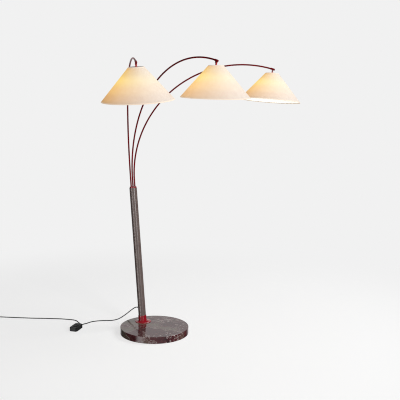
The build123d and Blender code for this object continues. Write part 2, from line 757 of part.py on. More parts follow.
def grip_end(side):
    """Where a cord meets its grip's outer end, in the switch's frame."""
    return (SWITCH_LENGTH / 2 + GRIP_LENGTH, side * GRIP_SPACING, GRIP_HEIGHT)


def switch_cord_grips():
    grips = []
    for side in (-1, 1):
        grip = turned([(0, 0), (GRIP_RADIUS, 0), (GRIP_RADIUS, GRIP_HEAD_LENGTH),
                       (GRIP_RADIUS - GRIP_STEP, GRIP_HEAD_LENGTH + GRIP_STEP),
                       (GRIP_END_RADIUS, GRIP_LENGTH), (0, GRIP_LENGTH)])
        grip = Pos(SWITCH_LENGTH / 2, side * GRIP_SPACING, GRIP_HEIGHT) * Rot(0, 90, 0) * grip
        grips.append(in_switch(grip))
    return Compound(children=grips)


# ---------------------------------------------------------------- free cord
def switch_point(local):
    """A point given in the switch's frame, in the lamp's frame."""
    turn = math.radians(SWITCH_TURN)
    x = SWITCH_X + local[0] * math.cos(turn) - local[1] * math.sin(turn)
    y = SWITCH_Y + local[0] * math.sin(turn) + local[1] * math.cos(turn)
    return Vector(x, y, local[2])


def run_points(start, first_way, first_lead, points, end, last_way, last_lead):
    """A whole route: its ends, and a point straight out of each."""
    first = start + first_way.normalized() * first_lead
    last = end - last_way.normalized() * last_lead
    return [start, first] + [Vector(*p) for p in points] + [last, end]


def corner_radii(points):
    """The largest tangent arc that each corner's two runs allow."""
    radii = []
    for before, here, after in zip(points, points[1:], points[2:]):
        turn = math.radians((here - before).get_angle(after - here))
        shorter = min((here - before).length, (after - here).length)
        radii.append(0.45 * shorter / math.tan(turn / 2))
    return radii


def cord_run(name, points):
    """A round cord of straight runs joined by tangent arcs."""
    radii = corner_radii(points)
    path = FilletPolyline(*points, radius=radii)
    tube = swept_rod(CORD_RADIUS, path)
    runs = [round((b - a).length) for a, b in zip(points, points[1:])]
    even = tube.volume / (math.pi * CORD_RADIUS ** 2 * path.length)
    print(name, "runs", runs, "radii", [round(r) for r in radii])
    print(name, "length", round(path.length, 1), "volume over section times length", round(even, 4))
    return tube


def cord_to_switch():
    start = STEM_FRAME.from_local_coords(Vector(-gland_end(), 0, GLAND_HEIGHT))
    out = Vector(0, 0, 0) - STEM_FRAME.x_dir
    end = switch_point(grip_end(-1))
    inward = switch_point((0, 0, 0)) - switch_point((1, 0, 0))
    points = run_points(start, out, GLAND_LEAD, ROUTE_TO_SWITCH, end, inward, ENTRY_LEAD)
    return cord_run("cord_to_switch", points)


def coil_place(quarters):
    """Point on the coil's centre line and its direction, some quarter turns in."""
    climb_end = COIL_QUARTERS + CLIMB_QUARTERS
    spread_end = climb_end + COIL_QUARTERS
    per_quarter = COIL_PITCH / 4
    inner = COIL_RADIUS - COIL_QUARTERS * per_quarter
    low, high = CORD_RADIUS, CORD_RADIUS + COIL_PITCH
    if quarters <= COIL_QUARTERS:
        radius, height = COIL_RADIUS - quarters * per_quarter, low
        radius_rate, height_rate = -per_quarter, 0.0
    elif quarters <= climb_end:
        share = (quarters - COIL_QUARTERS) / CLIMB_QUARTERS
        radius = inner - per_quarter * 2 * share * (1 - share)
        radius_rate = -per_quarter * (1 - 2 * share)
        height = low + COIL_PITCH * (share - math.sin(2 * math.pi * share) / (2 * math.pi))
        height_rate = COIL_PITCH * (1 - math.cos(2 * math.pi * share)) / 2
    elif quarters <= spread_end:
        radius, height = inner + (quarters - climb_end) * per_quarter, high
        radius_rate, height_rate = per_quarter, 0.0
    else:
        share = (quarters - spread_end) / CLIMB_QUARTERS
        fall = high - PLUG_HEIGHT
        radius = COIL_RADIUS + COIL_PITCH * share * (COIL_OUTWARD * share + 0.5)
        radius_rate = COIL_PITCH * (COIL_OUTWARD * share + 0.25)
        height = high - fall * (share - math.sin(2 * math.pi * share) / (2 * math.pi))
        height_rate = -fall * (1 - math.cos(2 * math.pi * share)) / 2
    turn = math.radians(COIL_START_ANGLE + 90 * quarters)
    outward = Vector(math.cos(turn), math.sin(turn), 0)
    onward = Vector(-math.sin(turn), math.cos(turn), 0)
    point = Vector(COIL_X, COIL_Y, height) + outward * radius
    speed = onward * (radius * math.pi / 2) + outward * radius_rate + Vector(0, 0, height_rate)
    return point, speed.normalized()


def coil_turns():
    """All quarter turns of the coil."""
    return 2 * (COIL_QUARTERS + CLIMB_QUARTERS)


def biarc(start, start_way, end, end_way):
    """Two arcs, tangent to each other and to the directions given at both ends."""
    chord = end - start
    ways = start_way + end_way
    spread = 2 * (1 - start_way.dot(end_way))
    along = chord.dot(ways)
    reach = (-along + math.sqrt(along ** 2 + spread * chord.dot(chord))) / spread
    before = start + start_way * reach
    after = end - end_way * reach
    join = (before + after) * 0.5
    return [TangentArc(start, join, tangent=start_way), TangentArc(join, end, tangent=after - before)]


def coil_edges():
    places = [coil_place(step) for step in range(coil_turns() + 1)]
    start, start_way = places[0]
    end, end_way = places[-1]
    edges = [Line(start - start_way * 2 * CORD_RADIUS, start)]
    for (a, way_a), (b, way_b) in zip(places, places[1:]):
        edges += biarc(a, way_a, b, way_b)
    edges.append(Line(end, end + end_way * 2 * CORD_RADIUS))
    return edges


def least_gap(path):
    """Smallest distance between the coil's surfaces, measured on points of its centre line."""
    count = 400
    points = [path @ (i / count) for i in range(count + 1)]
    step = path.length / count
    apart = math.ceil(8 * CORD_RADIUS / step)
    near = min((a - b).length for i, a in enumerate(points) for b in points[i + apart:])
    return near - 2 * CORD_RADIUS


def cord_coil():
    path = Wire(coil_edges())
    print("cord_coil length", round(path.length, 1), "gap to itself", round(least_gap(path), 2))
    return swept_rod(CORD_RADIUS, path)


def cord_to_coil():
    start = switch_point(grip_end(1))
    out = switch_point((1, 0, 0)) - switch_point((0, 0, 0))
    first, way = coil_place(0)
    end = first - way * 2 * CORD_RADIUS
    points = run_points(start, out, EXIT_LEAD, ROUTE_TO_COIL, end, way, COIL_LEAD)
    return cord_run("cord_to_coil", points)


# ---------------------------------------------------------------- plug
def plug_frame():
    """Frame at the cord's end, x on along the cord, z up."""
    end, way = coil_place(coil_turns())
    level = Vector(way.X, way.Y, 0).normalized()
    return Plane(origin=end + way * 2 * CORD_RADIUS, x_dir=level, z_dir=(0, 0, 1))


def plug_body():
    wide = PLUG_WIDTH / 2
    back = PLUG_TAIL - PLUG_BACK_REACH
    front = PLUG_TAIL + PLUG_LENGTH
    half = [(back, PLUG_BACK_WIDTH / 2), (PLUG_TAIL + PLUG_FLARE, wide), (front - PLUG_NOSE, wide),
            (front, PLUG_NOSE)]
    plan = make_face(Polyline(*[(x, -y) for x, y in half], *reversed(half), close=True))
    body = Pos(0, 0, -PLUG_THICK / 2) * extrude(plan, PLUG_THICK)
    body = chamfer(body.edges().group_by(Axis.Z)[0] + body.edges().group_by(Axis.Z)[-1], PLUG_ARRIS)
    tail = PLUG_TAIL - PLUG_TAIL_OVERLAP
    relief = turned([(0, 0), (GRIP_END_RADIUS, 0), (GRIP_RADIUS, tail), (0, tail)])
    body += Rot(0, 90, 0) * relief
    return plug_frame().location * body


def plug_pins():
    front = PLUG_TAIL + PLUG_LENGTH
    pins = []
    for side in (-0.5, 0.5):
        pin = rod(PLUG_PIN_RADIUS, front, front + PLUG_PIN_LENGTH)
        pin = fillet(pin.edges().group_by(Axis.Z)[-1], PLUG_PIN_ROUND)
        pins.append(plug_frame().location * Pos(0, side * PLUG_PIN_SPACING, 0) * Rot(0, 90, 0) * pin)
    return Compound(children=pins)


# ---------------------------------------------------------------- write every sub-part
def main():
    os.makedirs("parts", exist_ok=True)
    fixed = [felt_pad, marble_base, tie_washer, tie_bolt, base_flange, stem_collar, collar_screws,
             stem_tube, leather_sleeve, top_cap, arm_bushes, lower_guide, terminal_block, stem_leads,
             cord_gland, supply_tail, switch_base, switch_cover, switch_screws, switch_contacts,
             switch_button, switch_cord_grips, cord_to_switch, cord_to_coil, cord_coil, plug_body,
             plug_pins]
    for make in fixed:
        write(make.__name__, make())

    arm_pieces = {make.__name__: make() for make in (arm_tube, arm_lead, arm_ferrule, knuckle_pin)}
    in_head = (drop_link, shade_cone, shade_cap, rim_hoop, lampholder, bulb_cap, bulb_glass)
    head_pieces = {make.__name__: make() for make in in_head}
    for name, (side, azimuth, lean) in ARMS.items():
        arm = arm_place(side, azimuth)
        for piece, shape in arm_pieces.items():
            write(f"{piece}_{name}", arm * shape)
        head = arm * head_frame(lean).location
        for piece, shape in head_pieces.items():
            write(f"{piece}_{name}", head * shape)


main()
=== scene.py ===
"""The looks of the tree floor lamp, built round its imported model. Metres, in the model's own frame."""

import json
import math

import bmesh
import bpy
from mathutils import Matrix, Vector


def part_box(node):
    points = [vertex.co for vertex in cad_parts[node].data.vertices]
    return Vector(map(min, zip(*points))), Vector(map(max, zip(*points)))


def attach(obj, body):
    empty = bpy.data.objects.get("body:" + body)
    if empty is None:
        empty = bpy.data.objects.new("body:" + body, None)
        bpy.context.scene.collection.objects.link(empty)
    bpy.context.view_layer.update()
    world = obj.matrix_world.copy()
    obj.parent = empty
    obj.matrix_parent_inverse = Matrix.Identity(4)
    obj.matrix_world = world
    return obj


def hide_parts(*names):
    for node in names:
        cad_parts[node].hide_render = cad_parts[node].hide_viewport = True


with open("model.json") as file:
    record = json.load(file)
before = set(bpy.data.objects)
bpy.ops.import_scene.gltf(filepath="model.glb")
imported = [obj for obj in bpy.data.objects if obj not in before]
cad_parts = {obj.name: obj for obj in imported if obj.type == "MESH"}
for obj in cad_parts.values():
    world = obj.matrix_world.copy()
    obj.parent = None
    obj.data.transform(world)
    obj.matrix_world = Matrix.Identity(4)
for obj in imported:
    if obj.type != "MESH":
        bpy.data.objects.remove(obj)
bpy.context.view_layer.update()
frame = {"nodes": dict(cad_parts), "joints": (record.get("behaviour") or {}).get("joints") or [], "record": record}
NODES = frame["nodes"]
JOINTS = {joint["name"]: joint for joint in frame["joints"]}
SIDES = ("left", "middle", "right")
UP = Vector((0, 0, 1))

# ---------------------------------------------------------------- sizes
CORD_RADIUS = 0.00325
SHARP_ANGLE = math.radians(40)  # edges that turn by more are rounded
CRYSTAL_HIGHLIGHT_PLACE = (0.215, -0.030, 0.020)  # where white crystal specks gather thickly on the stone's rim, as a painted highlight

# camera: where it stands, which way it looks, and how far it is turned about that line
CAMERA_PLACE = Vector((4.044, -2.9314, 1.7068))
CAMERA_LOOK = Vector((-0.7639, 0.6250, -0.1609))
CAMERA_ROLL = math.radians(0.65)
CAMERA_LENS = 70.58  # millimetres, like the sensor's width
CAMERA_SENSOR = 36
CAMERA_FAR = 60

# the stem's axis, from the socket of the middle arm
STEM_TOP = Vector(JOINTS["arm_swing_middle"]["pos_m"])
STEM_AXIS = Vector(JOINTS["arm_swing_middle"]["axis"]).normalized()
STEM_LENGTH = 0.910
STEM_FOOT = STEM_TOP - STEM_AXIS * STEM_LENGTH
STEM_FORWARD = Vector((STEM_AXIS.z, 0, -STEM_AXIS.x))  # square to the axis, over the base's middle
LEATHER_RADIUS = 0.025
SEAM_ANGLE = math.radians(-33)
SEAM_START = 0.0445  # from the stem's foot to the first stitch
SEAM_END = 0.898
STITCH_PITCH = 0.0062
STITCH_LENGTH = 0.0052
STITCH_RADIUS = 0.00045
STITCH_SIDES = 6
STITCH_RINGS = 5

# shades, measured down from the knuckle's pin
SHADE_DROP = 0.0145
SHADE_HEIGHT = 0.182
SHADE_TOP_RADIUS = 0.043
SHADE_RIM_RADIUS = 0.202
SHADE_SPREAD = SHADE_RIM_RADIUS - SHADE_TOP_RADIUS
SHADE_SLANT = math.hypot(SHADE_HEIGHT, SHADE_SPREAD)
SKIN_THICK = 0.0009
TAPE_WIDTH = 0.006
TAPE_THICK = 0.0004
TAPE_STEPS = 3
TAPE_ROUND = 0.0003
LAP_WIDTH = 0.009
LAP_START = 0.04  # shares of the shade's height
LAP_END = 0.96
LAP_FLAT = 0.84  # share of the lap's width that lies proud
SHADE_SEGMENTS = 144
SHADE_STEPS = 12
# The bulb's light through the shades' skin is painted on as glow; this share of it is left where the studio's
# lamps fall.
GLOW_ON_LIT_SIDE = 0.38  # what is left of the bulb's glow where the studio's light falls on the skin

# foot switch
SWITCH_PLACE = Vector((-0.3745, -0.3745, 0))
SWITCH_TURN = math.radians(125)
BUTTON_TOP = 0.030
RIB_SPACING = 0.010
RIB_SIZE = (0.003, 0.022, 0.0014)
RIB_LIFT = 0.0002  # the ribs' middle above the button's top
RIB_ROUND = 0.0006

# coil of the spare cord
COIL_PLACE = Vector((-0.940, -0.752, 0))
COIL_START = math.radians(138)
COIL_RADIUS = 0.045
COIL_PITCH = 0.0071
COIL_QUARTERS = 9  # quarter turns of each layer
COIL_TOTAL = 2 * COIL_QUARTERS + 4  # with two quarters to climb and two to come down
COIL_POINTS = 4  # points of each quarter turn
PLUG_HEIGHT = 0.008
TIE_TURN = math.radians(48)  # where round the coil its tie sits
TIE_INNER = 0.0252  # the tie's nearest and farthest reach from the coil's middle
TIE_OUTER = 0.0472
TIE_HEIGHT = 0.0143
TIE_WIDTH = 0.011
TIE_THICK = 0.0007
TIE_CORNER = 0.003
TIE_TAIL = 0.011
TIE_TAIL_SINKS = (0.0006, 0.0026)  # at the tail's middle and at its end
TIE_CORNER_STEPS = 6
TIE_ROUND = 0.0002

# the cord's route to the foot switch, and from there to the coil
ROUTE_TO_SWITCH = [
    (-0.2251, -0.0041, 0.1177),
    (-0.2500, -0.0155, 0.0965),
    (-0.2830, -0.0320, 0.0640),
    (-0.3150, -0.0490, 0.0360),
    (-0.3470, -0.0650, 0.0140),
    (-0.3810, -0.0950, CORD_RADIUS),
    (-0.4130, -0.1350, CORD_RADIUS),
    (-0.4340, -0.1770, CORD_RADIUS),
    (-0.4410, -0.2220, CORD_RADIUS),
    (-0.4280, -0.2640, CORD_RADIUS),
]
ROUTE_TO_COIL = [
    (-0.4490, -0.2995, 0.0040),
    (-0.4840, -0.2930, CORD_RADIUS),
    (-0.5210, -0.2840, CORD_RADIUS),
    (-0.5530, -0.2930, CORD_RADIUS),
    (-0.5870, -0.3210, CORD_RADIUS),
    (-0.6270, -0.3520, CORD_RADIUS),
    (-0.6650, -0.3970, CORD_RADIUS),
    (-0.7070, -0.4410, CORD_RADIUS),
    (-0.7490, -0.4930, CORD_RADIUS),
    (-0.7960, -0.5410, CORD_RADIUS),
    (-0.8420, -0.5900, CORD_RADIUS),
    (-0.8930, -0.6400, CORD_RADIUS),
]
GLAND_END = 0.049  # from the stem's axis to the gland's outer end
GLAND_HEIGHT = 0.088
GLAND_LEAD = 0.013
ENTRY_LEAD = 0.022
EXIT_LEAD = 0.016
COIL_LEAD = 0.036
GRIP_END = 0.070  # from the switch's middle to its grips' outer ends
GRIP_SPACING = 0.010
GRIP_HEIGHT = 0.008

# light and ground
BACKDROP = 0.88
AMBIENT = 0.08
STUDIO_DARK = 0.05  # brightness of the studio's open sides, as gloss mirrors them
# each soft box: azimuth, rise, distance from its aim, width and height, power, height of its aim
LIGHTS = {
    "key": (64, 38, 5.6, (2.3, 2.3), 128, 1.3),
    "front": (-5, 12, 7.0, (1.9, 3.0), 205, 1.0),
    "top": (-36, 84, 4.4, (2.8, 2.8), 13, 0.9),
}
LIGHT_AIM = Vector((0.1, 0, 0))  # the point of the floor over which all of them aim
LIT_AZIMUTH = 32  # the middle of the sides that the studio's lamps fall on
FLOOR_COLOUR = 0.8
FLOOR_LIGHT = 0.46  # light that falls on the floor near the lamp
FLOOR_SHADOW = 0.50  # how much of the floor's brightness a shadow can take away
FLOOR_NEAR = 1.3
FLOOR_FAR = 2.8
FLOOR_RADIUS = 14.0
FLOOR_DROP = 0.0002  # keeps the floor clear of the pieces that stand on it
# what gloss mirrors before the lamp: shares of a direction's length toward the camera's right
PANEL_LEFT = -0.86
PANEL_RIGHT = -0.62
WALL_RIGHT = 0.55
WALL_EDGE = 0.14
PANEL = 4.6  # brightness of the panel, and of the wall beside it
WALL = 0.9
WALL_DIM = 0.12  # what is left of the wall's brightness at its right end
# and away from the camera: where the wall fades out, and where the backdrop fades in
WALL_FADE = (-0.2, 0.1)
BACKDROP_FADE = (0.70, 0.96)


# ---------------------------------------------------------------- camera
def make_camera():
    look = CAMERA_LOOK.normalized()
    right = look.cross(UP).normalized()
    up = right.cross(look)
    rolled_right = right * math.cos(CAMERA_ROLL) + up * math.sin(CAMERA_ROLL)
    rolled_up = up * math.cos(CAMERA_ROLL) - right * math.sin(CAMERA_ROLL)
    camera = bpy.data.objects.new("camera", bpy.data.cameras.new("camera"))
    camera.data.lens = CAMERA_LENS
    camera.data.sensor_width = CAMERA_SENSOR
    camera.data.clip_end = CAMERA_FAR
    turn = Matrix((rolled_right, rolled_up, -look)).transposed()
    camera.matrix_world = Matrix.Translation(CAMERA_PLACE) @ turn.to_4x4()
    bpy.context.scene.collection.objects.link(camera)
    bpy.context.scene.camera = camera


make_camera()


# ---------------------------------------------------------------- mesh helpers
def mesh_piece(name, bm, place, body, materials):
    """Turn a bmesh into a smooth-shaded piece that rides on a body."""
    mesh = bpy.data.meshes.new(name)
    bm.normal_update()
    bm.to_mesh(mesh)
    bm.free()
    for face in mesh.polygons:
        face.use_smooth = True
    for material in materials:
        mesh.materials.append(material)
    piece = bpy.data.objects.new(name, mesh)
    bpy.context.scene.collection.objects.link(piece)
    piece.matrix_world = place
    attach(piece, body)
    return piece


def lathe(bm, profile, segments, material=0, closed=True):
    """Turn a profile of (radius, height) points about Z and add it to the bmesh."""
    rings = []
    for step in range(segments):
        turn = 2 * math.pi * step / segments
        rings.append([bm.verts.new((r * math.cos(turn), r * math.sin(turn), z)) for r, z in profile])
    count = len(profile)
    last = count if closed else count - 1
    for step in range(segments):
        here = rings[step]
        there = rings[(step + 1) % segments]
        for index in range(last):
            after = (index + 1) % count
            face = bm.faces.new((here[index], there[index], there[after], here[after]))
            face.material_index = material


def round_edges(piece, width, segments=1):
    bevel = piece.modifiers.new("round", "BEVEL")
    bevel.width = width
    bevel.segments = segments
    bevel.angle_limit = SHARP_ANGLE


# ---------------------------------------------------------------- cords
def switch_point(along, across, height):
    """A point given in the switch's own frame: along toward its cord end, across to the left of it."""
    turned = Matrix.Rotation(SWITCH_TURN, 3, "Z") @ Vector((along, across, height))
    return SWITCH_PLACE + turned


def coil_point(quarters):
    """Point on the coil's centre line, some quarter turns in."""
    climb_end = COIL_QUARTERS + 2
    spread_end = climb_end + COIL_QUARTERS
    per_quarter = COIL_PITCH / 4
    inner = COIL_RADIUS - COIL_QUARTERS * per_quarter
    low = CORD_RADIUS
    high = CORD_RADIUS + COIL_PITCH
    if quarters <= COIL_QUARTERS:
        radius = COIL_RADIUS - quarters * per_quarter
        height = low
    elif quarters <= climb_end:
        share = (quarters - COIL_QUARTERS) / 2
        radius = inner - per_quarter * 2 * share * (1 - share)
        height = low + COIL_PITCH * (share - math.sin(2 * math.pi * share) / (2 * math.pi))
    elif quarters <= spread_end:
        radius = inner + (quarters - climb_end) * per_quarter
        height = high
    else:
        share = (quarters - spread_end) / 2
        fall = high - PLUG_HEIGHT
        radius = COIL_RADIUS + 1.2 * COIL_PITCH * share * share + COIL_PITCH * share / 2
        height = high - fall * (share - math.sin(2 * math.pi * share) / (2 * math.pi))
    turn = COIL_START + quarters * math.pi / 2
    return radius, turn, height


def coil_points():
    """Control points of the coil's turns, pushed out so that the smooth line has the coil's radius."""
    step = math.pi / 2 / COIL_POINTS
    push = 1 / (0.75 + 0.25 * math.cos(step))
    points = []
    for index in range(COIL_TOTAL * COIL_POINTS + 1):
        radius, turn, height = coil_point(index / COIL_POINTS)
        radius *= push
        points.append(COIL_PLACE + Vector((radius * math.cos(turn), radius * math.sin(turn), height)))
    return points


def coil_end(quarters, sign, lead):
    """A point straight on from the coil's start or end, along its direction there."""
    radius, turn, height = coil_point(quarters)
    place = COIL_PLACE + Vector((radius * math.cos(turn), radius * math.sin(turn), height))
    return place + Vector((-math.sin(turn), math.cos(turn), 0)) * lead * sign


def smooth_cord(name, points):
    """A round cord whose centre line is one smooth spline with these control points.

    The thickness is in the points' radius, because a curve's bounding box grows by that radius.
    """
    curve = bpy.data.curves.new(name, "CURVE")
    curve.dimensions = "3D"
    curve.bevel_depth = 1
    curve.bevel_resolution = 5
    curve.resolution_u = 10
    curve.use_fill_caps = True
    spline = curve.splines.new("NURBS")
    spline.points.add(len(points) - 1)
    for place, point in zip(points, spline.points):
        point.co = (*place, 1)
        point.radius = CORD_RADIUS
    spline.order_u = 3
    spline.use_endpoint_u = True
    cord = bpy.data.objects.new(name, curve)
    bpy.context.scene.collection.objects.link(cord)
    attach(cord, "base")
    return cord


def make_cord_to_switch():
    start = STEM_FOOT + STEM_AXIS * GLAND_HEIGHT - STEM_FORWARD * GLAND_END
    straight = start - STEM_FORWARD * GLAND_LEAD
    end = switch_point(GRIP_END, -GRIP_SPACING, GRIP_HEIGHT)
    last = switch_point(GRIP_END + ENTRY_LEAD, -GRIP_SPACING, GRIP_HEIGHT)
    route = [Vector(point) for point in ROUTE_TO_SWITCH]
    cord = smooth_cord("cord_stem_to_switch", [start, straight, *route, last, end])
    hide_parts("cord_to_switch")
    return cord


def tie_section():
    """Points round the tie's rounded oblong, and the way out at each: (radius, height), (out, up)."""
    middle = (TIE_INNER + TIE_OUTER) / 2
    half = (TIE_OUTER - TIE_INNER) / 2 - TIE_CORNER
    level_middle = TIE_HEIGHT / 2
    level_half = TIE_HEIGHT / 2 - TIE_CORNER
    section = []
    for quarter, (side, level) in enumerate(((1, 1), (-1, 1), (-1, -1), (1, -1))):
        for step in range(TIE_CORNER_STEPS + 1):
            turn = math.pi / 2 * (quarter + step / TIE_CORNER_STEPS)
            radius = middle + side * half + TIE_CORNER * math.cos(turn)
            height = level_middle + level * level_half + TIE_CORNER * math.sin(turn)
            section.append(((radius, height), (math.cos(turn), math.sin(turn))))
    return section


def strip(bm, section, closed):
    """A band as wide as the tie that follows a section in the tie's own frame."""
    rings = []
    for (radius, height), (out, up) in section:
        inner = (radius - out * TIE_THICK, height - up * TIE_THICK)
        ring = [(radius, height, -1), (radius, height, 1), (*inner, 1), (*inner, -1)]
        rings.append([bm.verts.new((r, side * TIE_WIDTH / 2, z)) for r, z, side in ring])
    for index in range(len(rings) if closed else len(rings) - 1):
        here = rings[index]
        there = rings[(index + 1) % len(rings)]
        for corner in range(4):
            after = (corner + 1) % 4
            bm.faces.new((here[corner], there[corner], there[after], here[after]))
    if not closed:
        bm.faces.new(rings[0])
        bm.faces.new(list(reversed(rings[-1])))


def make_tie():
    """A hook-and-loop tie round the coil, with its free end over the outer edge."""
    bm = bmesh.new()
    strip(bm, tie_section(), True)
    top = TIE_HEIGHT + TIE_THICK
    edge = TIE_OUTER - TIE_CORNER
    tail = [
        ((TIE_INNER + TIE_CORNER, top), (0, 1)),
        ((edge, top), (0, 1)),
        ((edge + TIE_TAIL / 2, top - TIE_TAIL_SINKS[0]), (0.2, 0.98)),
        ((edge + TIE_TAIL, top - TIE_TAIL_SINKS[1]), (0.4, 0.92)),
    ]
    strip(bm, tail, False)
    bmesh.ops.recalc_face_normals(bm, faces=bm.faces)
    place = Matrix.Translation(COIL_PLACE) @ Matrix.Rotation(TIE_TURN, 4, "Z")
    tie = mesh_piece("cord_tie", bm, place, "base", [])
    round_edges(tie, TIE_ROUND)
    return tie


def make_cord_to_plug():
    start = switch_point(GRIP_END, GRIP_SPACING, GRIP_HEIGHT)
    first = switch_point(GRIP_END + EXIT_LEAD, GRIP_SPACING, GRIP_HEIGHT)
    route = [Vector(point) for point in ROUTE_TO_COIL]
    straight = 2 * CORD_RADIUS
    before = [coil_end(0, -1, straight + COIL_LEAD), coil_end(0, -1, straight)]
    points = [start, first, *route, *before, *coil_points(), coil_end(COIL_TOTAL, 1, straight)]
    cord = smooth_cord("cord_switch_to_plug", points)
    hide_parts("cord_to_coil", "cord_coil")
    return cord


cord_to_switch = make_cord_to_switch()
coil_tie = make_tie()
cord_to_plug = make_cord_to_plug()


# ---------------------------------------------------------------- places
def level_way(azimuth):
    """A level direction, in degrees from +X toward +Y."""
    turn = math.radians(azimuth)
    return Vector((math.cos(turn), math.sin(turn), 0))


def head_frame(side):
    """Frame of a head: origin at its knuckle's pin, z up its own axis, y along the pin."""
    joint = JOINTS[f"shade_tilt_{side}"]
    pin = Vector(joint["pos_m"])
    low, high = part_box(f"rim_hoop_{side}")
    axis = (pin - (low + high) / 2).normalized()
    across = Vector(joint["axis"])
    across = (across - axis * across.dot(axis)).normalized()
    out = across.cross(axis)
    return Matrix.Translation(pin) @ Matrix((out, across, axis)).transposed().to_4x4()


# ---------------------------------------------------------------- material helpers
class Nodes:
    """A node tree under construction."""

    def __init__(self, tree):
        self.tree = tree

    def add(self, kind, **settings):
        node = self.tree.nodes.new(kind)
        for key, value in settings.items():
            setattr(node, key, value)
        return node

    def link(self, source, target):
        """Feed a socket from another one, or set it to a number or a tuple."""
        if isinstance(source, (int, float)):
            target.default_value = source
        elif isinstance(source, tuple):
            target.default_value = (*source, 1) if len(target.default_value) == 4 else source
        else:
            self.tree.links.new(source, target)

    def maths(self, operation, first, second=0.0):
        node = self.add("ShaderNodeMath", operation=operation)
        self.link(first, node.inputs[0])
        self.link(second, node.inputs[1])
        return node.outputs["Value"]

    def vector_maths(self, operation, first, second=(0, 0, 0)):
        node = self.add("ShaderNodeVectorMath", operation=operation)
        self.link(first, node.inputs[0])
        self.link(second, node.inputs[1])
        return node.outputs

    def object_place(self):
        return self.add("ShaderNodeTexCoord").outputs["Object"]


class Finish(Nodes):
    """A material under construction: its Principled node and a few texture nodes on object coordinates."""

    def __init__(self, name, colour, roughness, **sockets):
        self.material = bpy.data.materials.new(name)
        self.material.use_nodes = True
        super().__init__(self.material.node_tree)
        self.bsdf = self.tree.nodes["Principled BSDF"]
        self.bsdf.inputs["Base Color"].default_value = (*colour, 1)
        self.bsdf.inputs["Roughness"].default_value = roughness
        for socket, value in sockets.items():
            self.bsdf.inputs[socket.replace("_", " ")].default_value = value
        self.place = self.object_place()

    def stretched(self, scale):
        """Object coordinates, drawn out by a scale of its own along each axis."""
        node = self.add("ShaderNodeMapping", vector_type="TEXTURE")
        self.link(self.place, node.inputs["Vector"])
        node.inputs["Scale"].default_value = scale
        return node.outputs["Vector"]

    def noise(self, scale, detail=3.0, roughness=0.5, place=None):
        node = self.add("ShaderNodeTexNoise")
        self.link(place or self.place, node.inputs["Vector"])
        node.inputs["Scale"].default_value = scale
        node.inputs["Detail"].default_value = detail
        node.inputs["Roughness"].default_value = roughness
        return node.outputs["Fac"]

    def cells(self, scale, feature):
        node = self.add("ShaderNodeTexVoronoi", feature=feature)
        self.link(self.place, node.inputs["Vector"])
        node.inputs["Scale"].default_value = scale
        return node.outputs["Distance"]

    def ramp(self, source, stops, interpolation="LINEAR"):
        node = self.add("ShaderNodeValToRGB")
        node.color_ramp.interpolation = interpolation
        elements = node.color_ramp.elements
        while len(elements) < len(stops):
            elements.new(0.5)
        for element, (position, colour) in zip(elements, stops):
            element.position = position
            element.color = (*colour, 1) if isinstance(colour, tuple) else (colour, colour, colour, 1)
        self.link(source, node.inputs["Fac"])
        return node.outputs["Color"]

    def blend(self, share, first, second, mode="MIX"):
        node = self.add("ShaderNodeMix", data_type="RGBA", blend_type=mode)
        self.link(share, node.inputs[0])
        self.link(first, node.inputs[6])
        self.link(second, node.inputs[7])
        return node.outputs[2]

    def warped(self, scale, amount):
        """Object coordinates pushed about by a soft noise."""
        push = self.noise(scale, detail=2.0).node.outputs["Color"]
        centred = self.vector_maths("SUBTRACT", push, (0.5, 0.5, 0.5))["Vector"]
        scaled = self.vector_maths("MULTIPLY", centred, (amount, amount, amount))["Vector"]
        return self.vector_maths("ADD", self.place, scaled)["Vector"]

    def colour(self, source):
        self.link(source, self.bsdf.inputs["Base Color"])

    def glow(self, source, strength):
        """Light that the surface gives off."""
        self.link(source, self.bsdf.inputs["Emission Color"])
        self.bsdf.inputs["Emission Strength"].default_value = strength

    def paint_glow_on_paper(self, source, strength=1.0):
        """The bulb's light, painted on a shade's surface as glow: it has no gloss, and isn't sampled as a lamp."""
        self.glow(source, strength)
        self.bsdf.inputs["Specular IOR Level"].default_value = 0
        self.material.cycles.emission_sampling = "NONE"

    def rough(self, source, low, high):
        node = self.add("ShaderNodeMapRange")
        self.link(source, node.inputs["Value"])
        node.inputs["To Min"].default_value = low
        node.inputs["To Max"].default_value = high
        self.link(node.outputs["Result"], self.bsdf.inputs["Roughness"])

    def bump(self, source, depth, strength=1.0):
        node = self.add("ShaderNodeBump")
        node.inputs["Strength"].default_value = strength
        node.inputs["Distance"].default_value = depth
        self.link(source, node.inputs["Height"])
        if self.bsdf.inputs["Normal"].is_linked:
            self.link(self.bsdf.inputs["Normal"].links[0].from_socket, node.inputs["Normal"])
        self.link(node.outputs["Normal"], self.bsdf.inputs["Normal"])


